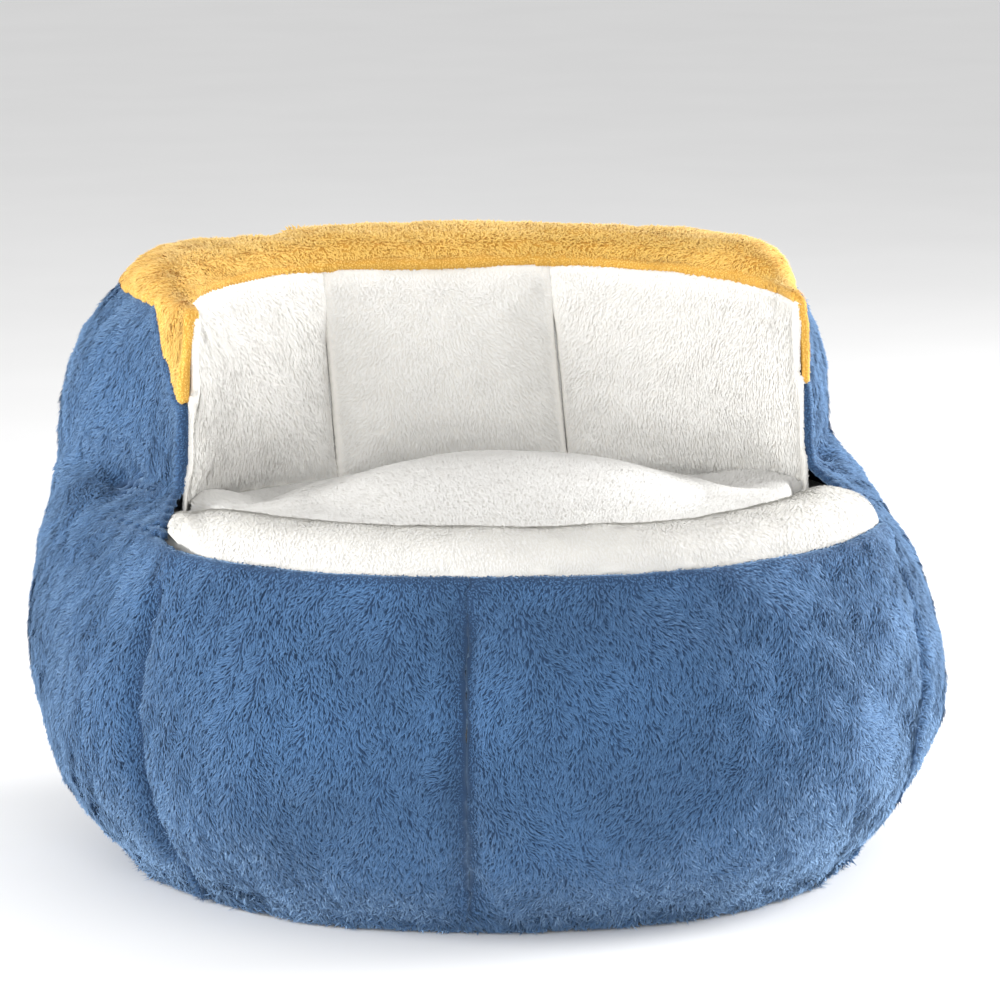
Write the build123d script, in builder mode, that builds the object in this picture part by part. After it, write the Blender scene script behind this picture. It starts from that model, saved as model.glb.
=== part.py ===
from build123d import *
import os
from math import atan2, cos, degrees, radians, sin, sqrt

# Plush bean bag chair. Millimetres, the chair faces -Y, and the floor is Z = 0 at its middle.
# Angles run from the front, 0 at -Y, through the chair's +X side, 90, to its rear, 180.

# Bag: its radius at the belly, and how far its foot, seat edge, flank and shoulder tuck in from there
bag_radius = 450.0
foot_tuck = 98.0
lip_tuck = 40.0
flank_tuck = 65.0
shoulder_tuck = 40.0
corner_swell = 23.0
flank_angle = 82.0
corner_angle = 122.0
belly_height = 270.0
front_belly_height = 180.0
seat_height = 350.0
back_height = 203.0

# Plush cover
pile = 8.0
crown = 5.0
drawn_in = 6.0
seam_gap = 0.4
front_seam_angle = -15.0
side_seam_angle = 62.0
rear_seam_angle = 150.0

# Wings
wing_angle = 82.5
wing_inset = 134.0
wing_sweep = 36.0
wing_lean = 13.0
wing_padding = 5.0
wing_bow = 6.0
wing_bow_place = 0.55
corner_lean = 10.0
tail_length = 89.0
tail_share = 0.22
tail_tip = 0.06
tail_tuck = 1.0

# Inside of the back
panel_half_width = 120.0
back_depth = 235.0
recline = 100.0
side_hollow_foot = 42.0
side_hollow_top = 56.0
centre_hollow = 8.0
back_puff = 14.0

# Top band
band_rise = 33.0
band_tip_rise = 6.0
band_start_angle = 83.0

# Seat
lip_width = 110.0
lip_rise = 40.0
lip_crest = 0.55
lip_turn_angle = 60.0
lip_wing_gap = 1.5
lip_end_angle = 81.5
lip_end_rise = 14.0
surround_thickness = 22.0
surround_round = 9.0
surround_ease = 3.0
dome_front_gap = 11.0
dome_rear_gap = 56.0
dome_rise = 27.0
dome_side_height = 14.0
dome_shoulder = 14.0

# Carry handle
handle_angle = 189.5
handle_span = 130.0
handle_reach = 34.0
handle_dip = 8.0
handle_lean = 7.0
handle_radius = 8.0
handle_neck = 0.6
handle_bend = 14.0
handle_tilt = 58.0
handle_end_length = 18.0
handle_ease = 0.9

# Floor panel and zip
floor_thickness = 9.0
floor_round = 4.0
zip_length = 460.0
slot_half_width = 15.0
slot_end = 12.0
tape_thickness = 0.8
coil_width = 2.4
coil_thickness = 2.0
coil_round = 0.8
coil_gap = 1.2
slider_length = 14.0
slider_width = 9.6
slider_tail_width = 8.4
slider_wall = 1.4
slider_flange = 0.8
slider_round = 1.5
slider_divider = 4.0
slider_ease = 0.3
slider_park = 0.5
stop_length = 4.0

# Inner bags
liner_wall = 2.0
liner_ease = 10.0
fill_ease = 0.3
mouth_length = 260.0
mouth_width = 12.0
back_bag_angle = 106.0
back_bag_ease = 30.0
back_bag_tip_ease = 16.0
back_bag_headroom = 5.0

foot_radius = bag_radius - foot_tuck
lip_radius = bag_radius - lip_tuck
shoulder_radius = bag_radius - shoulder_tuck
seam_height = seat_height + back_height
foot_height = floor_thickness + fill_ease


def on_ring(radius, angle):
    """The point of a ring round the chair's axis at an angle."""
    return Vector(radius * sin(radians(angle)), -radius * cos(radians(angle)))


def deeper(point, depth):
    """The point moved level towards the chair's axis."""
    return point * (1 - depth / point.length)


def mirrored(point):
    """The point on the chair's other side."""
    return Vector(-point.X, point.Y)


def share(height, low, high):
    """How far a height lies between two others, from 0 to 1."""
    return (height - low) / (high - low)


def between(first, second, part):
    """The value or point a part of the way from the first to the second."""
    return first + (second - first) * part


def steps(low, high, count):
    """Even steps from one value to another, both ends included."""
    return [between(low, high, step / count) for step in range(count + 1)]


def barrel(height, belly, top_height, top_radius):
    """Radius of the bag's side: an ellipse from the foot to its belly, another from there to its top."""
    end_height, end_radius = (0.0, foot_radius) if height < belly else (top_height, top_radius)
    reach = abs(end_height - belly) / sqrt(1 - (end_radius / bag_radius) ** 2)
    return bag_radius * sqrt(1 - ((height - belly) / reach) ** 2)


def side_ring(height):
    """Radius of the sides and rear, which rise to the top band."""
    return barrel(height, belly_height, seam_height, shoulder_radius)


def front_ring(height):
    """Radius of the front, which rises to the seat lip."""
    return barrel(height, front_belly_height, seat_height, lip_radius)


def flank_ring(height):
    """Radius of the flank, which falls away towards the wing's foot."""
    return barrel(height, front_belly_height, seat_height, bag_radius - flank_tuck)


def corner_ring(height):
    """Radius of the rear corners, which swell past the sides."""
    return side_ring(height) + corner_swell * min(height / belly_height, 1)


def radial(angle):
    """Upright plane through the chair's axis: its X runs outward at the angle, its Y runs up."""
    outward = on_ring(1, angle)
    return Plane(origin=(0, 0, 0), x_dir=outward, z_dir=outward.cross(Vector(0, 0, 1)))


def ray_radius(arc, angle):
    """How far from the axis an arc of a cover crosses an angle."""
    outward = on_ring(1, angle)
    centre = Vector(arc.arc_center.X, arc.arc_center.Y)
    along = centre.dot(outward)
    return along + sqrt(along**2 - centre.length**2 + arc.radius**2)


def level_arc(points):
    """An arc through three points, to measure on."""
    return ThreePointArc(*points, mode=Mode.PRIVATE)


def level_curve(points):
    """A smooth curve through some points, to measure on."""
    return Spline(*points, mode=Mode.PRIVATE)


def curve_radius(curve, angle):
    """How far from the axis a curve from front to rear crosses an angle."""
    low, high = 0.0, 1.0
    while high - low > 1e-9:
        middle = (low + high) / 2
        point = curve @ middle
        if degrees(atan2(point.X, -point.Y)) < angle:
            low = middle
        else:
            high = middle
    return (curve @ high).length


def sheet(heights, face, back, ruled=False):
    """A padded sheet lofted through level sections. face and back give three or five points at a height."""
    with BuildPart() as padded:
        for height in heights:
            face_points, back_points = face(height), back(height)
            run = ThreePointArc if len(face_points) == 3 else Spline
            with BuildSketch(Plane.XY.offset(height)):
                with BuildLine():
                    face_run = run(*face_points)
                    back_run = run(*back_points)
                    Line(face_run @ 0, back_run @ 0)
                    Line(face_run @ 1, back_run @ 1)
                make_face()
        loft(ruled=ruled)
    return padded


def cloth_back(face):
    """The inner side of a cover, one thickness of plush behind its face."""
    return lambda height: [deeper(point, pile) for point in face(height)]


base_heights = steps(foot_height, seat_height, 6)


# Front gores, either side of the off-centre front seam
def front_gore(start, end):
    def face(height):
        ring = front_ring(height)
        middle = between(start, end, 0.5)
        return [on_ring(ring - drawn_in, start), on_ring(ring + crown, middle), on_ring(ring - drawn_in, end)]

    return sheet(base_heights, face, cloth_back(face))


front_left_panel = front_gore(-side_seam_angle, front_seam_angle)
front_right_panel = front_gore(front_seam_angle, side_seam_angle)


# Side cover: the base side up to the seat, then the wing above it, which sweeps back from the side seam
def spread(points, start=0, end=1):
    """Five points along a part of the smooth curve through some points."""
    curve = level_curve(points)
    return [curve @ part for part in steps(start, end, 4)]


def base_side_face(height):
    return spread(
        [
            on_ring(front_ring(height) - drawn_in, side_seam_angle),
            on_ring(flank_ring(height), flank_angle),
            on_ring(corner_ring(height), corner_angle),
            on_ring(side_ring(height) - drawn_in, rear_seam_angle),
        ]
    )


def wing_edge(height):
    """Front edge of the wing on the seat side."""
    lean = wing_lean * share(height, seat_height, seam_height)
    return on_ring(bag_radius - wing_inset - lean, wing_angle)


wing_foot_radius = front_ring(seat_height) - drawn_in
wing_depth = wing_padding + seam_gap + pile


def wing_front_radius(angle, height):
    """Radius of the wing's outer face along its front edge, from the side seam to where it stands upright."""
    upright_radius = wing_edge(height).length + wing_depth
    return between(wing_foot_radius, upright_radius, share(angle, side_seam_angle, wing_angle))


def wing_points(height):
    """Four points of the whole wing's outer face at a height, from its front edge to the rear seam."""
    swept = sqrt(min(share(height, seat_height, seat_height + wing_sweep), 1))
    front_angle = between(side_seam_angle, wing_angle, swept)
    front = on_ring(wing_front_radius(front_angle, height), front_angle)
    rise = share(height, seat_height, seam_height)
    corner_radius = between(corner_ring(seat_height), shoulder_radius - corner_lean, rise**3)
    corner = on_ring(corner_radius, corner_angle)
    run = corner - front
    bowed = between(front, corner, wing_bow_place) + Vector(run.Y, -run.X).normalized() * wing_bow
    flank = between(on_ring(flank_ring(seat_height), flank_angle), bowed, swept)
    return [front, flank, corner, on_ring(side_ring(height) - drawn_in, rear_seam_angle)]


tail_height = seam_height - tail_length


def tail_edge(height):
    """How far round the wing the band's tail reaches at a height."""
    return tail_share * share(height, tail_height, seam_height)


def wing_face(height):
    return spread(wing_points(height), start=max(tail_edge(height), 0))


sweep_heights = [seat_height + wing_sweep * part**2 for part in steps(0, 1, 6)]
base_side = sheet(base_heights, base_side_face, cloth_back(base_side_face))
wing_foot = sheet(sweep_heights, wing_face, cloth_back(wing_face), ruled=True)
wing_low = sheet(steps(sweep_heights[-1], tail_height, 2), wing_face, cloth_back(wing_face))
wing_high = sheet(steps(tail_height, seam_height, 3), wing_face, cloth_back(wing_face))

with BuildPart() as right_side_panel:
    add(base_side.part)
    add(wing_foot.part)
    add(wing_low.part)
    add(wing_high.part)

with BuildPart() as left_side_panel:
    mirror(right_side_panel.part, about=Plane.YZ)


# Rear gore, from the floor to the band
def rear_face(height):
    ring = side_ring(height)
    rear_seam = on_ring(ring - drawn_in, rear_seam_angle)
    return [rear_seam, on_ring(ring + crown, 180), mirrored(rear_seam)]


rear_panel = sheet(base_heights + steps(seat_height, seam_height, 3)[1:], rear_face, cloth_back(rear_face))


# White panels inside the back, each swelling towards the sitter between its seams
back_foot = shoulder_radius - back_depth


def puff(height):
    return back_puff * (1 - (2 * share(height, seat_height, seam_height) - 1) ** 2)


def panel_seam(height):
    return Vector(panel_half_width, back_foot + recline * share(height, seat_height, seam_height))


def side_panel_points(height, outset):
    """Edge, middle and seam of the right back panel, its middle moved outward by an outset."""
    edge, seam = wing_edge(height), panel_seam(height)
    rise = share(height, seat_height, seam_height)
    hollow = between(side_hollow_foot, side_hollow_top, rise) - puff(height) + outset
    chord = seam - edge
    outward = Vector(chord.Y, -chord.X).normalized()
    return [edge, between(edge, seam, 0.5) + outward * hollow, seam]


def side_panel_face(height):
    return side_panel_points(height, 0)


def side_panel_back(height):
    edge, middle, seam = side_panel_points(height, pile)
    return [deeper(edge, -wing_padding), middle, seam + Vector(0, pile)]


def centre_panel_face(height):
    seam = panel_seam(height)
    return [seam, Vector(0, seam.Y + centre_hollow - puff(height)), mirrored(seam)]


def centre_panel_back(height):
    return [point + Vector(0, pile) for point in centre_panel_face(height)]


back_heights = steps(seat_height, seam_height, 4)
back_panel_right = sheet(back_heights, side_panel_face, side_panel_back)
back_panel_centre = sheet(back_heights, centre_panel_face, centre_panel_back)
with BuildPart() as back_panel_left:
    mirror(back_panel_right.part, about=Plane.YZ)


# Tails of the mustard band, down the front of each wing to a point
def tail_points(height, depth):
    """The tail's points at a height, at a depth behind the wing's face."""
    wing = wing_points(height)
    end = tail_edge(height) - seam_gap / level_curve(wing).length
    return [deeper(point, depth) for point in spread(wing, end=end)]


def tail_face(height):
    return tail_points(height, tail_tuck)


def tail_back(height):
    return tail_points(height, pile - tail_tuck)


band_foot = seam_height + fill_ease
tail_heights = steps(between(tail_height, seam_height, tail_tip), band_foot, 3)
right_tail = sheet(tail_heights, tail_face, tail_back)

# Mustard band: an arch over the panels' top edges, narrowing to the wing tips
inner_side_arc = level_arc(side_panel_face(seam_height))
outer_side_curve = level_curve(wing_points(seam_height))
outer_rear_arc = level_arc(rear_face(seam_height))
panel_seam_angle = 90 + panel_seam(seam_height).get_angle(Vector(1, 0, 0))


def band_inner(angle):
    if angle < panel_seam_angle:
        return ray_radius(inner_side_arc, angle)
    return panel_seam(seam_height).Y / on_ring(1, angle).Y


def band_outer(angle):
    if angle < rear_seam_angle:
        return curve_radius(outer_side_curve, angle)
    return ray_radius(outer_rear_arc, angle)


band_stations = steps(band_start_angle, rear_seam_angle, 6) + steps(rear_seam_angle, 180, 3)[1:]
tip_width = band_outer(band_start_angle) - band_inner(band_start_angle)
rear_width = band_outer(180) - band_inner(180)


def arch_rise(width):
    part = share(width, tip_width, rear_width / 2)
    return between(band_tip_rise, band_rise, min(max(part, 0.0), 1.0))


with BuildPart() as band_arch:
    for angle in band_stations + [360 - angle for angle in reversed(band_stations[:-1])]:
        near = min(angle, 360 - angle)
        inner, outer = band_inner(near), band_outer(near)
        crest = (inner + outer) / 2
        top_height = band_foot + arch_rise(outer - inner)
        wall = min(pile, (outer - inner) / 3)
        with BuildSketch(radial(angle)):
            with BuildLine():
                top = ThreePointArc((inner, band_foot), (crest, top_height), (outer, band_foot))
                under = ThreePointArc((inner + wall, band_foot), (crest, top_height - wall), (outer - wall, band_foot))
                Line(top @ 0, under @ 0)
                Line(top @ 1, under @ 1)
            make_face()
    loft()

with BuildPart() as top_band:
    add(band_arch.part)
    add(right_tail.part)
    mirror(right_tail.part, about=Plane.YZ)

# Seat lip: a padded roll along the seat's front, tapering out inside each wing's foot
lip_inner = lip_radius - lip_width
lip_outer = wing_foot_radius - pile - seam_gap


def roll_points(inner, outer, rise):
    """Foot, top and foot of the roll's upper face in a radial plane."""
    return (inner, seat_height), (between(inner, outer, lip_crest), seat_height + rise), (outer, seat_height)


with BuildPart() as lip_front:
    with BuildSketch(radial(-lip_turn_angle)):
        with BuildLine():
            roll = ThreePointArc(*roll_points(lip_inner, lip_outer, lip_rise))
            Line(roll @ 1, roll @ 0)
        make_face()
    revolve(axis=Axis.Z, revolution_arc=2 * lip_turn_angle)

with BuildPart() as lip_corner:
    for angle in [lip_turn_angle] + steps(side_seam_angle, lip_end_angle, 6):
        rise = between(lip_rise, lip_end_rise, share(angle, lip_turn_angle, lip_end_angle))
        outer = lip_outer
        if angle > lip_turn_angle:
            outer = wing_front_radius(angle, seat_height) - pile - lip_wing_gap
        with BuildSketch(radial(angle)):
            with BuildLine():
                roll = ThreePointArc(*roll_points(lip_inner, outer, rise))
                Line(roll @ 1, roll @ 0)
            make_face()
    loft(ruled=True)

with BuildPart() as seat_lip:
    add(lip_front.part)
    add(lip_corner.part)
    mirror(lip_corner.part, about=Plane.YZ)

# Seat surround: the padding between the lip, the back and the dome
surround_top = seat_height + surround_thickness
with BuildPart() as seat_surround:
    with BuildSketch(Plane.XY.offset(seat_height)):
        with BuildLine():
            ring = lip_inner - seam_gap
            corner = on_ring(ring, lip_end_angle)
            edge, middle, seam = side_panel_points(seat_height, -surround_ease)
            edge = deeper(edge, surround_ease)
            seam = seam - Vector(seam_gap, surround_ease)
            ThreePointArc(mirrored(corner), on_ring(ring, 0), corner)
            Line(corner, edge)
            ThreePointArc(edge, middle, seam)
            ThreePointArc(seam, Vector(0, seam.Y + centre_hollow), mirrored(seam))
            ThreePointArc(mirrored(seam), mirrored(middle), mirrored(edge))
            Line(mirrored(edge), mirrored(corner))
        make_face()
    extrude(amount=surround_thickness)
    rim = seat_surround.faces().sort_by(Axis.Z)[-1].edges().sort_by(Axis.Y)[0]
    fillet(rim, radius=surround_round)

# Seat dome, drawn in at its foot, and the wadding under it
dome_radius = (lip_inner + back_foot - dome_front_gap - dome_rear_gap) / 2
dome_middle = dome_front_gap + dome_radius - lip_inner
dome_plane = Plane(origin=(0, dome_middle, 0), x_dir=(1, 0, 0), z_dir=(0, -1, 0))
dome_axis = Axis((0, dome_middle, 0), (0, 0, 1))
dome_top = surround_top + dome_rise
pad_radius = dome_radius - drawn_in - pile


def cap_points(radius, low, high):
    """Rim, halfway point and top of a round cap that lies level at its top."""
    sphere = (radius**2 + (high - low) ** 2) / (2 * (high - low))
    halfway = radius / 2
    return (radius, low), (halfway, high - sphere + sqrt(sphere**2 - halfway**2)), (0, high)


with BuildPart() as seat_pad:
    with BuildSketch(dome_plane):
        with BuildLine():
            pad_cap = ThreePointArc(*cap_points(pad_radius - fill_ease, surround_top, dome_top - pile - fill_ease))
            Line(pad_cap @ 1, (0, surround_top))
            Line((0, surround_top), pad_cap @ 0)
        make_face()
    revolve(axis=dome_axis)

with BuildPart() as seat_cushion:
    with BuildSketch(dome_plane):
        with BuildLine():
            shoulder = (dome_radius - dome_shoulder, surround_top + dome_side_height)
            dome_side = ThreePointArc(
                (dome_radius - drawn_in, surround_top),
                (dome_radius - drawn_in / 2, surround_top + dome_side_height * 0.7),
                shoulder,
            )
            dome_cap = ThreePointArc(*cap_points(*shoulder, dome_top))
            hollow_cap = ThreePointArc(*cap_points(pad_radius, surround_top, dome_top - pile))
            Line(dome_cap @ 1, hollow_cap @ 1)
            Line(hollow_cap @ 0, dome_side @ 0)
        make_face()
    revolve(axis=dome_axis)

# Carry handle: a padded cord with two humps, its round ends sewn in at the band's rear seam
rear_seam_centre = Vector(outer_rear_arc.arc_center.X, outer_rear_arc.arc_center.Y)
handle_spot = on_ring(ray_radius(outer_rear_arc, handle_angle), handle_angle)
handle_outward = (handle_spot - rear_seam_centre).normalized()
handle_along = Vector(0, 0, 1).cross(handle_outward)
end_inside = (handle_span - handle_end_length) / 2
end_radius = outer_rear_arc.radius + handle_radius + handle_ease
handle_axis = rear_seam_centre + handle_outward * sqrt(end_radius**2 - end_inside**2)
handle_centre = handle_axis + Vector(0, 0, seam_height)
tilt = radians(handle_tilt)
handle_up = Vector(0, 0, cos(tilt)) + handle_outward * sin(tilt)
handle_plane = Plane(origin=handle_centre, x_dir=handle_along, z_dir=handle_along.cross(handle_up))
hump = handle_span / 2 - handle_lean

with BuildPart() as carry_handle:
    with BuildLine(handle_plane) as cord:
        FilletPolyline(
            (-handle_span / 2, 0),
            (-hump, handle_reach),
            (0, handle_reach - handle_dip),
            (hump, handle_reach),
            (handle_span / 2, 0),
            radius=handle_bend,
        )
    with BuildSketch(Plane(origin=cord.line @ 0, z_dir=cord.line % 0)):
        Circle(handle_radius - handle_neck)
    sweep()
    for side in (-1, 1):
        end_middle = handle_centre + handle_along * (side * handle_span / 2)
        with BuildSketch(Plane(origin=end_middle, z_dir=handle_along)):
            Circle(handle_radius)
        extrude(amount=handle_end_length / 2, both=True)

# Floor panel in two halves, with a slot between them for the zip
slot_length = zip_length + 2 * slot_end


def floor_half(side):
    with BuildPart() as half:
        with BuildSketch():
            Circle(foot_radius)
            with Locations((0, -side * foot_radius / 2)):
                Rectangle(2 * foot_radius, foot_radius, mode=Mode.SUBTRACT)
            Rectangle(slot_length, 2 * slot_half_width, mode=Mode.SUBTRACT)
        extrude(amount=floor_thickness)
        fillet(half.edges().filter_by(GeomType.CIRCLE).group_by(Axis.Z)[0], radius=floor_round)
    return half


base_front_panel = floor_half(-1)
base_rear_panel = floor_half(1)

# Zip, let into the slot: two tapes, two coils, end stops and a slider without a pull
slider_top = floor_thickness - fill_ease
slider_roof = slider_top - slider_wall
coil_height = slider_roof - slider_ease - coil_thickness
tape_height = coil_height - tape_thickness
slider_foot = tape_height - slider_ease - slider_wall
tape_edge = coil_gap / 2


def zip_tape(side):
    with BuildPart() as tape:
        with BuildSketch(Plane.XY.offset(tape_height)):
            with Locations((0, side * (tape_edge + slot_half_width) / 2)):
                Rectangle(slot_length, slot_half_width - tape_edge)
        extrude(amount=tape_thickness)
    return tape


def zip_coil(side):
    with BuildPart() as coil:
        with BuildSketch(Plane.YZ.offset(-zip_length / 2)):
            with Locations((side * (tape_edge + coil_width / 2), coil_height + coil_thickness / 2)):
                RectangleRounded(coil_width, coil_thickness, coil_round)
        extrude(amount=zip_length)
    return coil


zip_tape_front, zip_tape_rear = zip_tape(-1), zip_tape(1)
zip_coil_front, zip_coil_rear = zip_coil(-1), zip_coil(1)

chain_width = coil_gap + 2 * coil_width
with BuildPart() as zip_stops:
    with BuildSketch(Plane.XY.offset(coil_height)):
        with GridLocations(zip_length + stop_length + 2 * slider_ease, 0, 2, 1):
            Rectangle(stop_length, chain_width)
    extrude(amount=coil_thickness)

slider_middle = (zip_length - slider_length) / 2 - slider_park
with BuildPart() as zip_slider:
    nose, tail = slider_middle + slider_length / 2, slider_middle - slider_length / 2
    for plate_height in (slider_foot, slider_roof):
        with BuildSketch(Plane.XY.offset(plate_height)):
            with BuildLine():
                Polyline(
                    (nose, -slider_width / 2),
                    (nose, slider_width / 2),
                    (tail, slider_tail_width / 2),
                    (tail, -slider_tail_width / 2),
                    close=True,
                )
            make_face()
            fillet(vertices(), radius=slider_round)
        extrude(amount=slider_wall)
    with BuildSketch(Plane.XY.offset(coil_height + slider_ease)):
        with Locations((slider_middle, 0)):
            with GridLocations(0, chain_width + 2 * slider_ease + slider_flange, 1, 2):
                Rectangle(slider_length - 2 * slider_round, slider_flange)
    extrude(amount=slider_roof - coil_height - slider_ease)
    with BuildSketch(Plane.XY.offset(slider_foot + slider_wall)):
        with Locations((nose - slider_round - slider_divider / 2, 0)):
            Rectangle(slider_divider, coil_gap - 2 * slider_ease)
    extrude(amount=slider_roof - slider_foot - slider_wall)


# Inner bag of the base and its bead filling
def base_bag(inset, drop):
    """The base's bag, its side moved in by an inset and its ends by a drop."""
    low, high = floor_thickness + drop, seat_height - drop

    def side_point(height):
        ring = min(front_ring(height), side_ring(height), flank_ring(height))
        return ring - drawn_in - pile - liner_ease - inset, height

    with BuildPart() as bag:
        with BuildSketch(Plane.XZ):
            with BuildLine():
                side = ThreePointArc(side_point(low), side_point(front_belly_height), side_point(high))
                Polyline(side @ 1, (0, high), (0, low), side @ 0)
            make_face()
        revolve(axis=Axis.Z)
    return bag


base_fill = base_bag(liner_wall + fill_ease, liner_wall)
base_hollow = base_bag(liner_wall, liner_wall)
base_whole = base_bag(0, 0)
with BuildPart() as base_liner:
    add(base_whole.part)
    add(base_hollow.part, mode=Mode.SUBTRACT)
    with BuildSketch(Plane.XY.offset(floor_thickness)):
        SlotOverall(mouth_length, mouth_width)
    extrude(amount=liner_wall, mode=Mode.SUBTRACT)


# Inner bag of the back, a crescent between the white panels and the cover, and its bead filling
def back_bag(inset, drop):
    """The back's bag, its sides moved in by an inset and its ends by a drop."""
    low, high = seat_height + drop, seam_height - back_bag_headroom - drop
    with BuildPart() as bag:
        for height in steps(low, high, 3):
            panel_back = level_arc(side_panel_back(height))
            tip = on_ring(ray_radius(panel_back, back_bag_angle) + back_bag_tip_ease, back_bag_angle)
            outer = Vector(0, side_ring(height) + crown - pile - back_bag_ease)
            inner = Vector(0, panel_seam(height).Y + pile + back_bag_ease)
            with BuildSketch(Plane.XY.offset(height)):
                with BuildLine():
                    ThreePointArc(tip, outer, mirrored(tip))
                    ThreePointArc(tip, inner, mirrored(tip))
                make_face()
                if inset > 0:
                    offset(amount=-inset, kind=Kind.INTERSECTION, mode=Mode.REPLACE)
        loft()
    return bag


back_fill = back_bag(liner_wall + fill_ease, liner_wall)
back_hollow = back_bag(liner_wall, liner_wall)
back_whole = back_bag(0, 0)
with BuildPart() as back_liner:
    add(back_whole.part)
    add(back_hollow.part, mode=Mode.SUBTRACT)
    mouth_middle = back_foot + pile + 2 * back_bag_ease
    with BuildSketch(Plane.XY.offset(seat_height)):
        with Locations((0, mouth_middle)):
            SlotOverall(mouth_length, mouth_width)
    extrude(amount=liner_wall, mode=Mode.SUBTRACT)

os.makedirs("parts", exist_ok=True)
pieces = {
    "front_left_panel": front_left_panel,
    "front_right_panel": front_right_panel,
    "left_side_panel": left_side_panel,
    "right_side_panel": right_side_panel,
    "rear_panel": rear_panel,
    "back_panel_left": back_panel_left,
    "back_panel_centre": back_panel_centre,
    "back_panel_right": back_panel_right,
    "top_band": top_band,
    "seat_lip": seat_lip,
    "seat_surround": seat_surround,
    "seat_cushion": seat_cushion,
    "seat_pad": seat_pad,
    "carry_handle": carry_handle,
    "base_front_panel": base_front_panel,
    "base_rear_panel": base_rear_panel,
    "zip_tape_front": zip_tape_front,
    "zip_tape_rear": zip_tape_rear,
    "zip_coil_front": zip_coil_front,
    "zip_coil_rear": zip_coil_rear,
    "zip_stops": zip_stops,
    "zip_slider": zip_slider,
    "base_liner": base_liner,
    "base_fill": base_fill,
    "back_liner": back_liner,
    "back_fill": back_fill,
}
for name, piece in pieces.items():
    piece.part.label = name
    export_step(piece.part, f"parts/{name}.step")
print("carry_handle axis through", handle_centre, "along", handle_along)
print("zip_slider starts at X", slider_middle, "and runs to X", -slider_middle)
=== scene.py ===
import math

import bpy
import numpy as np
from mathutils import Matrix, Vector
from mathutils.kdtree import KDTree


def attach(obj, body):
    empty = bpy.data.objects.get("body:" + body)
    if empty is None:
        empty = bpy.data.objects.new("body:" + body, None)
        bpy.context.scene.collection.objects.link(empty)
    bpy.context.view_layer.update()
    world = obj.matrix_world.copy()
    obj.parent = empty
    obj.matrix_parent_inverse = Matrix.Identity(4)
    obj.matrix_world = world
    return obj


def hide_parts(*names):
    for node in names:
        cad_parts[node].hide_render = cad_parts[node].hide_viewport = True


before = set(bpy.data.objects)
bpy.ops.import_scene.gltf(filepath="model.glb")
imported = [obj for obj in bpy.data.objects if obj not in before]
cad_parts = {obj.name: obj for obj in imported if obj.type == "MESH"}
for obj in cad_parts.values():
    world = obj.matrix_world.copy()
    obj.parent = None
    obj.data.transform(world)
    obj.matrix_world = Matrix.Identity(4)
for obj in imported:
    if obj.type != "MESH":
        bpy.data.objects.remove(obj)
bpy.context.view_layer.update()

# Floor panel
# The chair stands on a round panel of dark canvas in two halves, sewn to either side of the
# refill zip. It is a plain weave of thick yarn, a little paler where it has rubbed on the floor.


class Value:
    """A socket in a material. Arithmetic on it adds Math nodes, and node() adds any other kind."""

    def __init__(self, tree, socket=None):
        self.tree = tree
        self.socket = socket

    def node(self, kind, inputs=None, settings=None, output=0):
        made = self.tree.nodes.new(kind)
        for name, setting in (settings or {}).items():
            if name == "stops":
                ramp = made.color_ramp.elements
                while len(ramp) < len(setting):
                    ramp.new(1.0)
                for element, (place, colour) in zip(ramp, setting):
                    element.position = place
                    element.color = (*colour, 1.0)
            else:
                setattr(made, name, setting)
        for name, value in (inputs or {}).items():
            if isinstance(value, Value):
                self.tree.links.new(value.socket, made.inputs[name])
            else:
                made.inputs[name].default_value = value
        return Value(self.tree, made.outputs[output] if made.outputs else None)

    def maths(self, operation, first, second=0.0):
        return self.node("ShaderNodeMath", {0: first, 1: second}, {"operation": operation})

    def __add__(self, other):
        return self.maths("ADD", self, other)

    def __radd__(self, other):
        return self.maths("ADD", other, self)

    def __sub__(self, other):
        return self.maths("SUBTRACT", self, other)

    def __rsub__(self, other):
        return self.maths("SUBTRACT", other, self)

    def __mul__(self, other):
        return self.maths("MULTIPLY", self, other)

    def __rmul__(self, other):
        return self.maths("MULTIPLY", other, self)

    def sine(self):
        return self.maths("SINE", self)


def start_finish(name):
    """A new material and an empty value to build its nodes from."""
    material = bpy.data.materials.new(name)
    material.use_nodes = True
    material.node_tree.nodes.clear()
    return material, Value(material.node_tree)


def end_finish(start, **sockets):
    """The shader that a material's values lead to."""
    inputs = {name.replace("_", " "): value for name, value in sockets.items()}
    shader = start.node("ShaderNodeBsdfPrincipled", inputs)
    start.node("ShaderNodeOutputMaterial", {"Surface": shader})


def place_values(start):
    """The place of a point of the piece in metres, and its X, Y and Z."""
    place = start.node("ShaderNodeTexCoord", output="Object")
    axes = [start.node("ShaderNodeSeparateXYZ", {"Vector": place}, output=axis) for axis in "XYZ"]
    return place, axes


def woven_finish(name, dark, light, thread):
    """Plain-woven cloth with one thread over and one under, with random wear and painted shade
    where the weave dips.
    """
    material, start = start_finish(name)
    place, (x, y, _) = place_values(start)
    turns = 2 * math.pi / thread
    over = (x * turns).sine() * (y * turns).sine()
    wear = start.node("ShaderNodeTexNoise", {"Vector": place, "Scale": 14.0, "Detail": 4.0})
    # The colour is random wear, with painted shade where the weave dips under.
    wear_and_weave_shade = wear * 0.6 + over * 0.2 + 0.1
    stops = [(0.2, dark), (0.75, light)]
    colour = start.node("ShaderNodeValToRGB", {"Fac": wear_and_weave_shade}, {"stops": stops})
    bump = start.node("ShaderNodeBump", {"Height": over, "Strength": 0.6, "Distance": 0.0006})
    end_finish(start, Base_Color=colour, Roughness=0.92, Normal=bump)
    return material


def wear_finish(node, material):
    """Gives a CAD node one finish all over."""
    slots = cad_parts[node].data.materials
    slots.clear()
    slots.append(material)


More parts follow.
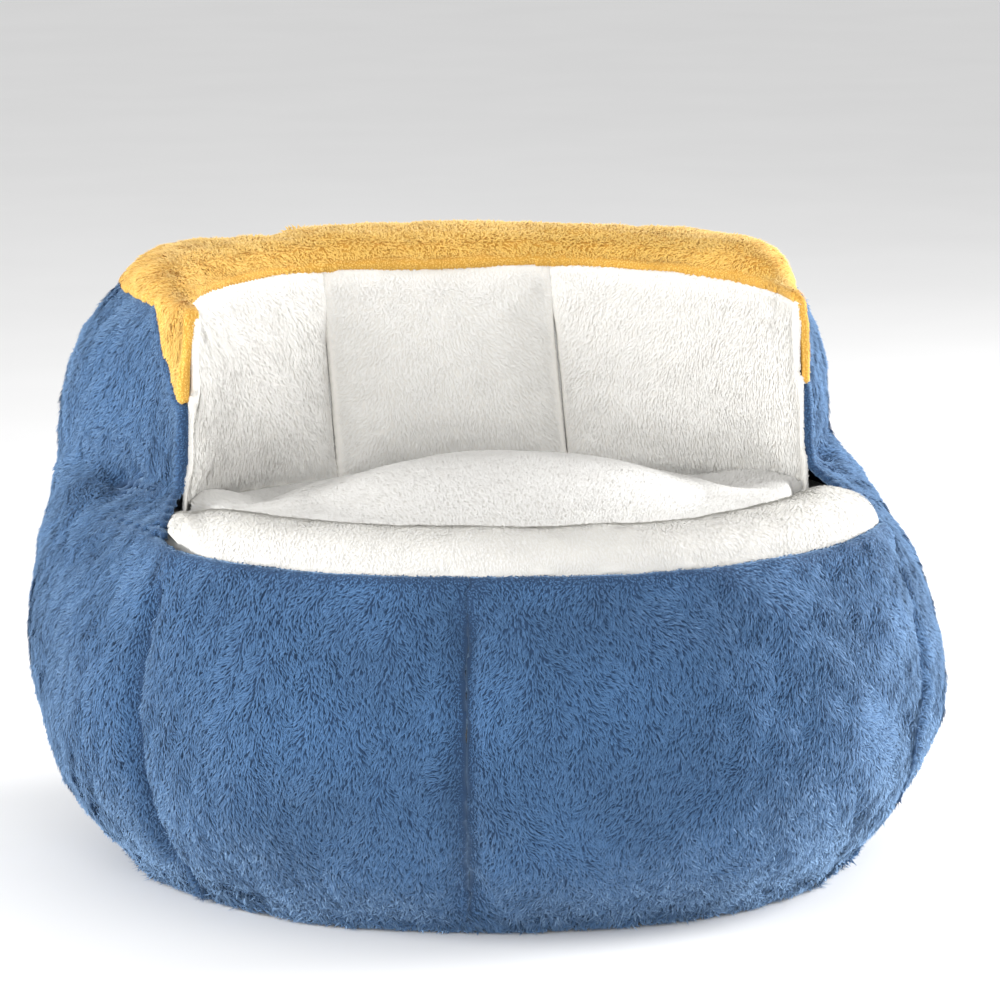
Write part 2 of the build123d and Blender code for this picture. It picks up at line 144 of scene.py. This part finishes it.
floor_cloth = woven_finish(
    "floor_canvas", dark=(0.018, 0.034, 0.066), light=(0.050, 0.080, 0.135), thread=0.0024
)
for floor_panel in ("base_front_panel", "base_rear_panel"):
    wear_finish(floor_panel, floor_cloth)

# Zip
# A nylon coil zip closes the slot in the floor panel. Its tapes are sewn in, its slider has no
# pull, so that a child can't open it, and a metal stop is pressed over each end of the chain.
tape_cloth = woven_finish(
    "zip_tape_weave", dark=(0.012, 0.022, 0.045), light=(0.030, 0.050, 0.090), thread=0.0011
)
for tape in ("zip_tape_front", "zip_tape_rear"):
    wear_finish(tape, tape_cloth)


def coil_finish(pitch, slant):
    """Nylon wire wound into close slanted turns along the chain."""
    material, start = start_finish("zip_coil_nylon")
    _, (x, y, _) = place_values(start)
    turn = (x * (2 * math.pi / pitch) + y * slant).sine()
    # The nylon is one colour: the darker gaps between the turns are painted shade.
    stops = [(0.1, (0.008, 0.014, 0.028)), (0.8, (0.035, 0.055, 0.1))]
    colour = start.node("ShaderNodeValToRGB", {"Fac": turn * 0.5 + 0.5}, {"stops": stops})
    bump = start.node("ShaderNodeBump", {"Height": turn, "Strength": 1.0, "Distance": 0.0005})
    end_finish(start, Base_Color=colour, Roughness=0.45, Normal=bump)
    return material


def plated_finish():
    """Nickel plate with fine scuffs."""
    material, start = start_finish("zip_plated_metal")
    place, _ = place_values(start)
    scuff = start.node("ShaderNodeTexNoise", {"Vector": place, "Scale": 900.0, "Detail": 3.0})
    stops = [(0.3, (0.42, 0.42, 0.43)), (0.7, (0.6, 0.6, 0.6))]
    colour = start.node("ShaderNodeValToRGB", {"Fac": scuff}, {"stops": stops})
    end_finish(start, Base_Color=colour, Roughness=scuff * 0.3 + 0.2, Metallic=1.0)
    return material


coil_nylon = coil_finish(pitch=0.0015, slant=900.0)
for coil in ("zip_coil_front", "zip_coil_rear"):
    wear_finish(coil, coil_nylon)
plated_metal = plated_finish()
for fitting in ("zip_stops", "zip_slider"):
    wear_finish(fitting, plated_metal)

# Inner bags
# The beads sit in two lining bags, a round one under the seat and a crescent behind the back
# panels. The lining is thin pale cloth, and the filling is loose foam beads.
lining_cloth = woven_finish(
    "lining_weave", dark=(0.60, 0.60, 0.58), light=(0.80, 0.80, 0.78), thread=0.0016
)


def bead_finish():
    """Foam beads, each a pale bump with painted shade in the gap round it."""
    material, start = start_finish("foam_beads")
    place, _ = place_values(start)
    gap = start.node("ShaderNodeTexVoronoi", {"Vector": place, "Scale": 240.0}, output="Distance")
    # The dark gaps between the beads are painted shade.
    stops = [(0.2, (0.88, 0.88, 0.87)), (0.7, (0.55, 0.55, 0.54))]
    colour = start.node("ShaderNodeValToRGB", {"Fac": gap}, {"stops": stops})
    bump = start.node("ShaderNodeBump", {"Height": 1 - gap, "Strength": 1.0, "Distance": 0.002})
    end_finish(start, Base_Color=colour, Roughness=0.7, Normal=bump)
    return material


beads = bead_finish()
for liner, fill in (("base_liner", "base_fill"), ("back_liner", "back_fill")):
    wear_finish(liner, lining_cloth)
    wear_finish(fill, beads)

# Blue cover
# Five gores of long-pile plush make the outside: two in front, one on each side with the wing in
# the same run of cloth, and one behind. Each is sewn edge to edge, so it swells between its seams
# and dips at them.
scene = bpy.context.scene
pile_seed = 20


def apply_modifier(piece, kind, **settings):
    """Adds a modifier to the active piece and applies it."""
    modifier = piece.modifiers.new(kind.lower(), kind)
    for name, value in settings.items():
        setattr(modifier, name, value)
    bpy.ops.object.modifier_apply(modifier=modifier.name)


def points_of(mesh):
    flat = np.empty(len(mesh.vertices) * 3, np.float32)
    mesh.vertices.foreach_get("co", flat)
    return flat.reshape(-1, 3).astype(float)


def normals_of(mesh):
    flat = np.empty(len(mesh.vertices) * 3, np.float32)
    mesh.vertex_normals.foreach_get("vector", flat)
    return flat.reshape(-1, 3).astype(float)


def move_points(mesh, points):
    mesh.vertices.foreach_set("co", points.astype(np.float32).ravel())
    mesh.update()


def drift(points, wave, seed):
    """Smooth noise from about -1 to 1 that changes over about one wave of distance."""
    ripples, peak = 7, 3.2
    draw = np.random.default_rng(seed)
    total = np.zeros(len(points))
    for _ in range(ripples):
        way = draw.normal(size=3)
        way *= draw.uniform(0.6, 1.5) * 2 * math.pi / wave / np.linalg.norm(way)
        total += np.sin(points @ way + draw.uniform(0, 2 * math.pi))
    return total / peak


def search_tree(places):
    """A tree that finds the nearest of some places by their index."""
    tree = KDTree(len(places))
    for index, place in enumerate(places):
        tree.insert(place, index)
    tree.balance()
    return tree


def nearest(places, points):
    """Index of the nearest of some places to each point, and how far away it is."""
    tree = search_tree(places)
    found = [tree.find(point)[1:] for point in points]
    return np.array([index for index, _ in found]), np.array([far for _, far in found])


def rim_distance(mesh, shows):
    """How far each point of a skin is from the rim of the side that shows, and how that faces."""
    rim_width = 0.008
    points, normals = points_of(mesh), normals_of(mesh)
    seen = shows(points, normals)
    if seen.all():
        return np.ones(len(points)), normals
    ends = np.empty(len(mesh.edges) * 2, np.int32)
    mesh.edges.foreach_get("vertices", ends)
    ends = ends.reshape(-1, 2)
    rim = ends[seen[ends[:, 0]] != seen[ends[:, 1]]]
    _, inside = nearest(points[rim].mean(1), points)
    middle = seen & (inside > rim_width)
    closest, _ = nearest(points[middle], points)
    return inside, normals[middle][closest]


def ramp(values, low, high):
    """A smooth rise from 0 at the low value to 1 at the high one."""
    part = np.clip((values - low) / (high - low), 0.0, 1.0)
    return part * part * (3 - 2 * part)


def unit(vectors):
    return vectors / np.maximum(np.linalg.norm(vectors, axis=1, keepdims=True), 1e-9)


def outward(points):
    """Level directions away from the chair's upright axis."""
    return unit(points * np.array([1.0, 1.0, 0.0]))


def seam_depth(points):
    """How far seams draw in, from 1 between gores to 0 at the floor, the lip and a wing's edge."""
    depth, height = points[:, 1], points[:, 2]
    above_floor = ramp(height, 0.02, 0.06)
    near_band = 0.8 * ramp(height, 0.47, 0.53)
    wing_edge = ramp(height, 0.30, 0.34) * (1 - ramp(depth, 0.0, 0.08))
    return above_floor * (1 - near_band) * (1 - wing_edge)


def swelling(skin, swell):
    """How far each point of a skin swells when a lighter copy of it is blown up as cloth."""
    usual_share, steps, neighbours, closest_gap = 0.7, 20, 4, 0.002
    slack = bpy.data.objects.new("slack_cloth", skin.data.copy())
    scene.collection.objects.link(slack)
    bpy.context.view_layer.objects.active = slack
    apply_modifier(slack, "DECIMATE", ratio=0.08)
    flat, up = points_of(slack.data), normals_of(slack.data)
    cloth = slack.modifiers.new("swelling", "CLOTH")
    cloth.settings.quality = 4
    cloth.settings.use_pressure = True
    cloth.settings.uniform_pressure_force = 4.0
    cloth.settings.effector_weights.gravity = 0.0
    cloth.collision_settings.use_collision = False
    for step in range(1, steps + 1):
        scene.frame_set(step)
    bpy.ops.object.modifier_apply(modifier=cloth.name)
    scene.frame_set(1)
    far = np.clip(((points_of(slack.data) - flat) * up).sum(1), 0.0, swell)
    bpy.data.objects.remove(slack)
    bpy.context.view_layer.objects.active = skin
    tree = search_tree(flat)
    found = [tree.find_n(point, neighbours) for point in points_of(skin.data)]
    close = np.array([[index for _, index, _ in row] for row in found])
    share = np.array([[1 / (gap + closest_gap) for _, _, gap in row] for row in found])
    return (far[close] * share).sum(1) / share.sum(1)


def stuffed(
    node, shows, swell, groove=0.008, closing=0.002, voxel=0.005, lump=0.002, sink=None
):
    """A padded skin in a CAD node's space, swollen as cloth between seams and drawn in at them."""
    crown_width, groove_width, closing_width = 0.07, 0.011, 0.006
    long_lump, short_lump = 0.17, 0.065
    skin = bpy.data.objects.new(node + "_plush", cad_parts[node].data.copy())
    scene.collection.objects.link(skin)
    bpy.ops.object.select_all(action="DESELECT")
    skin.select_set(True)
    bpy.context.view_layer.objects.active = skin
    bpy.ops.object.mode_set(mode="EDIT")
    bpy.ops.mesh.select_all(action="SELECT")
    bpy.ops.mesh.remove_doubles(threshold=1e-5)
    bpy.ops.object.mode_set(mode="OBJECT")
    apply_modifier(skin, "REMESH", mode="VOXEL", voxel_size=voxel)
    apply_modifier(skin, "SMOOTH", factor=0.5, iterations=4)
    inside, facing = rim_distance(skin.data, shows)
    evened = skin.vertex_groups.new(name="between_seams")
    for index, weight in enumerate(ramp(inside, 0.01, 0.04)):
        evened.add([index], weight, "REPLACE")
    apply_modifier(skin, "SMOOTH", factor=0.5, iterations=15, vertex_group=evened.name)

    flat, up = points_of(skin.data), normals_of(skin.data)
    lumps = lump * drift(flat, long_lump, pile_seed)
    lumps += lump / 2 * drift(flat, short_lump, pile_seed + 1)
    rise = swelling(skin, swell) * ramp(inside, 0.0, crown_width) + lumps
    rise *= np.clip((up * facing).sum(1), 0.0, 1.0)
    overlap = closing + 0.0025 * ramp(flat[:, 2], 0.50, 0.545)
    rise += overlap * np.exp(-((inside / closing_width) ** 2))
    dip = groove * seam_depth(flat) * np.exp(-((inside / groove_width) ** 2))
    moved = flat + up * rise[:, None] - facing * dip[:, None]
    if sink:
        moved[:, 2] -= sink(flat)
    move_points(skin.data, moved)
    return skin, inside


def turned(vectors, about, angles):
    """Vectors turned about unit axes that are square to them."""
    cosines, sines = np.cos(angles)[:, None], np.sin(angles)[:, None]
    return vectors * cosines + np.cross(about, vectors) * sines


def sew_tufts(skin, tufts, light, dye_and_painted_sheen, finish):
    """Joins kite-shaped tufts to a skin, with their normals and a chart of dye with painted sheen,
    and of height.
    """
    mesh = skin.data
    points, normals = points_of(mesh), normals_of(mesh)
    base, count = len(points), len(tufts)
    body = np.empty(len(mesh.loops), np.int32)
    mesh.loops.foreach_get("vertex_index", body)
    sizes = np.empty(len(mesh.polygons), np.int32)
    mesh.polygons.foreach_get("loop_total", sizes)
    first = base + 4 * np.arange(count)[:, None]
    kites = (first + np.array([0, 1, 2, 2, 1, 3])).ravel()
    loops = np.concatenate([body, kites]).astype(np.int32)
    sizes = np.concatenate([sizes, np.full(2 * count, 3, np.int32)])
    starts = np.concatenate([[0], np.cumsum(sizes)[:-1]]).astype(np.int32)

    grown = bpy.data.meshes.new(skin.name)
    grown.vertices.add(base + 4 * count)
    places = np.vstack([points, tufts.reshape(-1, 3)])
    grown.vertices.foreach_set("co", places.astype(np.float32).ravel())
    grown.loops.add(len(loops))
    grown.loops.foreach_set("vertex_index", loops)
    grown.polygons.add(len(sizes))
    grown.polygons.foreach_set("loop_start", starts)
    dyes_and_painted_sheen = np.concatenate([np.full(base, 0.5), np.repeat(np.clip(dye_and_painted_sheen, 0.04, 0.96), 4)])
    # The bare skin takes the root's colour, the darkest: painted shade under the pile and in the
    # seams.
    heights = np.concatenate([np.full(base, 0.04), np.tile([0.06, 0.5, 0.5, 0.96], count)])
    spots = np.stack([dyes_and_painted_sheen[loops], heights[loops]], 1)
    chart = grown.uv_layers.new(name="OFBake")
    chart.data.foreach_set("uv", spots.astype(np.float32).ravel())
    grown.update(calc_edges=True)
    grown.polygons.foreach_set("use_smooth", np.ones(len(sizes), bool))
    facing = np.vstack([normals, unit(light.reshape(-1, 3))])
    grown.normals_split_custom_set_from_vertices(facing.tolist())
    grown.materials.append(finish)
    skin.data = grown


def grow_pile(
    skin, inside, shows, finish,
    per_mm2=0.27, length=0.009, width=0.0016, lay=(0, 0, -1), stand=34, shag=1.0,
):
    """Covers the side of a skin that shows with tufts, each a bent kite that lies along the lay."""
    draw = np.random.default_rng(pile_seed)
    mesh = skin.data
    mesh.calc_loop_triangles()
    corners = np.empty(len(mesh.loop_triangles) * 3, np.int32)
    mesh.loop_triangles.foreach_get("vertices", corners)
    corners = corners.reshape(-1, 3)
    points, normals = points_of(mesh), normals_of(mesh)
    one, two, three = (points[corners[:, k]] for k in range(3))
    areas = np.linalg.norm(np.cross(two - one, three - one), axis=1) / 2
    areas[~shows((one + two + three) / 3, unit(normals[corners].sum(1)))] = 0.0
    count = int(areas.sum() * 1e6 * per_mm2)
    spread = (np.arange(count) + draw.uniform(size=count)) / count * areas.sum()
    chosen = corners[np.minimum(np.searchsorted(np.cumsum(areas), spread), len(areas) - 1)]
    share = draw.dirichlet((1, 1, 1), count)
    root = (points[chosen] * share[:, :, None]).sum(1)
    up = unit((normals[chosen] * share[:, :, None]).sum(1))

    # Short beside a seam, none in a drawn-in one, and long at the foot, over the floor panel's edge
    from_seam = (inside[chosen] * share).sum(1)
    trimmed = 0.3 + 0.7 * ramp(from_seam, 0.0, 0.018)
    trimmed *= 1 - seam_depth(root) * (1 - ramp(from_seam, 0.002, 0.006))
    trimmed = np.maximum(trimmed, 1.5 * (1 - ramp(root[:, 2], 0.015, 0.04)))
    kept = trimmed > 0.1
    root, up, trimmed, count = root[kept], up[kept], trimmed[kept], int(kept.sum())

    # The nap: along the lay and a little outwards, in swirls that neighbouring tufts share
    comb = np.array(lay) + 0.5 * outward(root) + 0.2 * draw.normal(size=(count, 3))
    comb = unit(comb - (comb * up).sum(1)[:, None] * up)
    swirl = 0.7 * drift(root, 0.12, pile_seed + 2) + 0.5 * drift(root, 0.035, pile_seed + 3)
    comb = turned(comb, up, shag * (swirl + 0.25 * draw.normal(size=count)))
    side = np.cross(up, comb)

    # Each tuft stands up from its root and bends over at its middle
    clump = 1 + 0.2 * shag * drift(root, 0.022, pile_seed + 4)
    long = (length * trimmed * clump * draw.uniform(0.7, 1.25, count))[:, None]
    wide = (width * draw.uniform(0.7, 1.3, count))[:, None]
    unruly = 8 * drift(root, 0.028, pile_seed + 5) + draw.normal(0, 5, count)
    lift = np.radians(stand + shag * unruly)[:, None]
    low = lift - np.radians(0.8 * stand)
    middle = root + 0.45 * long * (np.cos(lift) * comb + np.sin(lift) * up)
    tip = middle + 0.55 * long * (np.cos(low) * comb + np.sin(low) * up)
    left, right = middle - wide / 2 * side, middle + wide / 2 * side
    tufts = np.stack([root - 0.001 * up, left, right, tip], 1)
    tufts[:, :, 2] = np.maximum(tufts[:, :, 2], 0.0005)

    # Normals near the skin's own, so that the pile is lit as one soft surface
    lean = shag * (0.2 * comb + 0.14 * draw.normal(size=(count, 3)))
    round_side = 0.35 * shag * side
    light = np.stack([up, up - round_side + lean, up + round_side + lean, up + lean], 1)
    # Broad drifting patches of painted sheen on the nap, and a random dye that differs from tuft to
    # tuft.
    dye_and_painted_sheen = 0.5 + 0.2 * drift(root, 0.15, pile_seed + 6) + 0.1 * draw.normal(size=count)
    sew_tufts(skin, tufts, light, dye_and_painted_sheen, finish)


def plush_finish(name, root, middle, tip, spread, sheen, glow):
    """Pile painted darker towards the root as shade deep in the pile, dyed a little unevenly and in
    broad patches of painted sheen, with a sheen seen along it.
    """
    brightest = 0.97
    material, start = start_finish(name)
    chart = start.node("ShaderNodeUVMap", settings={"uv_map": "OFBake"})
    dye_and_painted_sheen = start.node("ShaderNodeSeparateXYZ", {"Vector": chart}, output="X")
    height = start.node("ShaderNodeSeparateXYZ", {"Vector": chart}, output="Y")
    dull, bright = [], []
    # Each colour darkens towards the root: painted shade deep in the pile.
    for place, colour in ((0.05, root), (0.5, middle), (0.95, tip)):
        dull.append((place, [value * (1 - spread) for value in colour]))
        bright.append((place, [min(value * (1 + spread), brightest) for value in colour]))
    dull_pile = start.node("ShaderNodeValToRGB", {"Fac": height}, {"stops": dull})
    bright_pile = start.node("ShaderNodeValToRGB", {"Fac": height}, {"stops": bright})
    dye_and_sheen_inputs = {"Factor": dye_and_painted_sheen, "A": dull_pile, "B": bright_pile}
    colour = start.node("ShaderNodeMix", dye_and_sheen_inputs, {"data_type": "RGBA"}, output="Result")
    end_finish(
        start,
        Base_Color=colour,
        Roughness=0.95,
        Sheen_Weight=sheen,
        Sheen_Roughness=0.45,
        Sheen_Tint=(*glow, 1.0),
    )
    return material


def outer_side(points, normals):
    """The outside of a cover, its upper edge, and the front edge of a wing."""
    edge = (normals[:, 1] < -0.5) | (normals[:, 2] > 0.4)
    return ((normals * outward(points)).sum(1) > 0.05) | edge & (points[:, 2] > 0.335)


def finish_plush(piece, node):
    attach(piece, "bag")
    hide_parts(node)


# Its darker root is painted shade deep in the pile.
blue_plush = plush_finish(
    "blue_plush",
    root=(0.016, 0.046, 0.110),
    middle=(0.032, 0.086, 0.190),
    tip=(0.072, 0.160, 0.31),
    spread=0.22,
    sheen=0.6,
    glow=(0.42, 0.66, 1.0),
)
front_gores = ("front_left_panel", "front_right_panel")
for gore in (*front_gores, "left_side_panel", "right_side_panel", "rear_panel"):
    gore_skin, gore_rim = stuffed(gore, outer_side, swell=0.004, groove=0.013, closing=0.0035)
    grow_pile(gore_skin, gore_rim, outer_side, blue_plush)
    finish_plush(gore_skin, gore)

# White back panels
# Three quilted panels line the back. Each is stitched to its neighbour in a deep groove, so its
# middle swells towards the sitter, and the outer two turn forward to the wings' front edges.


def inner_side(points, normals):
    """The side of a panel that faces the sitter, and its front edge."""
    return ((normals * outward(points)).sum(1) < -0.05) | (normals[:, 1] < -0.6)


# Its darker root is painted shade deep in the pile.
white_plush = plush_finish(
    "white_plush",
    root=(0.80, 0.78, 0.735),
    middle=(0.815, 0.805, 0.77),
    tip=(0.825, 0.817, 0.795),
    spread=0.03,
    sheen=0.05,
    glow=(1.0, 0.98, 0.94),
)
for panel in ("back_panel_left", "back_panel_centre", "back_panel_right"):
    panel_skin, panel_rim = stuffed(panel, inner_side, swell=0.010)
    grow_pile(panel_skin, panel_rim, inner_side, white_plush, length=0.008, stand=20, shag=0.45)
    finish_plush(panel_skin, panel)

# Mustard band
# A long gusset closes the top between the back panels and the blue cover. It is widest behind the
# sitter's head, and it runs out into a pointed tail down the front of each wing.


def band_side(points, normals):
    """The top, outside and front of the band, without its underside."""
    outside = (normals * outward(points)).sum(1) > 0.3
    return (normals[:, 2] > 0.02) | outside | (normals[:, 1] < -0.5)


# Its darker root is painted shade deep in the pile.
mustard_plush = plush_finish(
    "mustard_plush",
    root=(0.60, 0.32, 0.048),
    middle=(0.73, 0.44, 0.090),
    tip=(0.84, 0.57, 0.16),
    spread=0.10,
    sheen=0.25,
    glow=(1.0, 0.80, 0.45),
)
band_skin, band_rim = stuffed("top_band", band_side, swell=0.005, groove=0.002, voxel=0.004)
grow_pile(band_skin, band_rim, band_side, mustard_plush, length=0.008, stand=28, shag=0.8)
finish_plush(band_skin, "top_band")

# Seat
# The seat is a domed cushion over wadding, set in a flat padded surround. A padded roll, the lip,
# closes its front edge from wing to wing and hides the seam with the blue gores. The plush of all
# three is the back panels' white in a greyer copy: painted shade on the seat's upward faces.


def upper_side(points, normals):
    """All but the flat underside of a seat piece."""
    return normals[:, 2] > -0.25


dome_middle = np.array([0.0, -0.085])
dome_top = np.array([0.05, -0.06])


def surround_sink(points):
    """The surround is sat down behind the dome."""
    from_dome = np.linalg.norm(points[:, :2] - dome_middle, axis=1)
    between_wings = 1 - ramp(abs(points[:, 0]), 0.22, 0.30)
    return 0.019 * ramp(points[:, 1], -0.15, 0.05) * ramp(from_dome, 0.20, 0.26) * between_wings


def dome_sink(points):
    """The dome slopes into the surround, and its top is pushed over to one side."""
    from_dome = np.linalg.norm(points[:, :2] - dome_middle, axis=1)
    from_top = np.linalg.norm(points[:, :2] - dome_top, axis=1)
    return 0.012 * ramp(from_dome, 0.10, 0.20) - 0.004 * np.exp(-((from_top / 0.1) ** 2))


def lip_sink(points):
    """The lip is pressed onto the gores, and its ends fill the corners under the wings."""
    left_end = 0.014 * ramp(-points[:, 0], 0.318, 0.345)
    right_end = 0.006 * ramp(points[:, 0], 0.315, 0.345)
    return 0.003 - left_end - right_end


# A greyer copy of the white plush: painted shade for the light from above. Its darker root is
# painted shade deep in the pile.
shaded_seat_plush = plush_finish(
    "shaded_seat_plush",
    root=(0.70, 0.685, 0.645),
    middle=(0.715, 0.707, 0.68),
    tip=(0.73, 0.722, 0.705),
    spread=0.03,
    sheen=0.05,
    glow=(1.0, 0.98, 0.94),
)
for seat_piece, swell, closing, sink, lay, stand in (
    ("seat_surround", 0.002, 0.002, surround_sink, (0, 1, 0), 38),
    ("seat_cushion", 0.003, 0.002, dome_sink, (0, 1, 0), 38),
    ("seat_lip", 0.004, 0.004, lip_sink, (0, -0.2, -1), 28),
):
    seat_skin, seat_rim = stuffed(
        seat_piece, upper_side, swell, groove=0.0, closing=closing, lump=0.001, sink=sink
    )
    grow_pile(
        seat_skin, seat_rim, upper_side, shaded_seat_plush,
        per_mm2=0.3, length=0.006, width=0.0013, lay=lay, stand=stand, shag=0.4,
    )
    finish_plush(seat_skin, seat_piece)
wadding = woven_finish(
    "fibre_wadding", dark=(0.70, 0.70, 0.68), light=(0.86, 0.86, 0.84), thread=0.004
)
wear_finish("seat_pad", wadding)

# Carry handle
# A padded cord covered in the mustard plush, sewn in at the band's rear seam. Its middle sags
# under its own weight, so it stands in two humps.


def all_round(points, normals):
    return np.ones(len(points), bool)


handle_skin, handle_rim = stuffed(
    "carry_handle", all_round, swell=0.004, groove=0.0, voxel=0.003, lump=0.0005
)
grow_pile(handle_skin, handle_rim, all_round, mustard_plush, length=0.008)
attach(handle_skin, "carry_handle")
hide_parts("carry_handle")

# Floor and light
# A wide pale floor without an edge in view, a large soft lamp on either side and one in front,
# which reaches into the back, and pale light from all round.
bpy.ops.object.select_all(action="DESELECT")
bpy.ops.mesh.primitive_circle_add(vertices=96, radius=30.0, fill_type="NGON", location=(0, 0, 0))
ground = bpy.context.object
ground.name = "studio_floor"
bpy.ops.object.shade_smooth()
paper, start = start_finish("pale_paper")
place, _ = place_values(start)
grain = start.node("ShaderNodeTexNoise", {"Vector": place, "Scale": 3.0, "Detail": 2.0})
paper_stops = [(0.3, (0.88, 0.88, 0.88)), (0.7, (0.90, 0.90, 0.90))]
tone = start.node("ShaderNodeValToRGB", {"Fac": grain}, {"stops": paper_stops})
end_finish(start, Base_Color=tone, Roughness=0.9)
ground.data.materials.append(paper)

lamp_aim = Vector((0, 0, 0.3))


def soft_lamp(name, place, size, power):
    lamp = bpy.data.lights.new(name, "AREA")
    lamp.shape = "DISK"
    lamp.size = size
    lamp.energy = power
    stand = bpy.data.objects.new(name, lamp)
    stand.location = place
    stand.rotation_euler = (lamp_aim - Vector(place)).to_track_quat("-Z", "Y").to_euler()
    scene.collection.objects.link(stand)


soft_lamp("left_lamp", (-3.2, -0.4, 1.15), size=2.2, power=115.0)
soft_lamp("right_lamp", (3.2, 0.4, 1.2), size=2.2, power=210.0)
soft_lamp("front_lamp", (-0.6, -4.4, 1.2), size=2.6, power=100.0)
sky = bpy.data.worlds.new("studio_sky")
sky.use_nodes = True
sky_light = sky.node_tree.nodes["Background"].inputs
sky_light["Color"].default_value = (1.0, 1.0, 1.0, 1.0)
sky_light["Strength"].default_value = 0.72
scene.world = sky
scene.view_settings.view_transform = "Standard"

# Camera
# It stands far off in front, a little to the chair's right hand and above it, with a long lens.
# The view is a metre wide at the chair.
view_turn = math.radians(-12.0)
view_rise = math.radians(10.0)
view_distance = 6.0
view_width = 1.0
look_at = Vector((0.0088, -0.0019, 0.3553))
level = math.cos(view_rise)
back = Vector((math.sin(view_turn) * level, -math.cos(view_turn) * level, math.sin(view_rise)))
lens = bpy.data.cameras.new("photo_camera")
lens.lens = lens.sensor_width * view_distance / view_width
camera = bpy.data.objects.new("photo_camera", lens)
camera.location = look_at + back * view_distance
camera.rotation_euler = (-back).to_track_quat("-Z", "Y").to_euler()
scene.collection.objects.link(camera)
scene.camera = camera
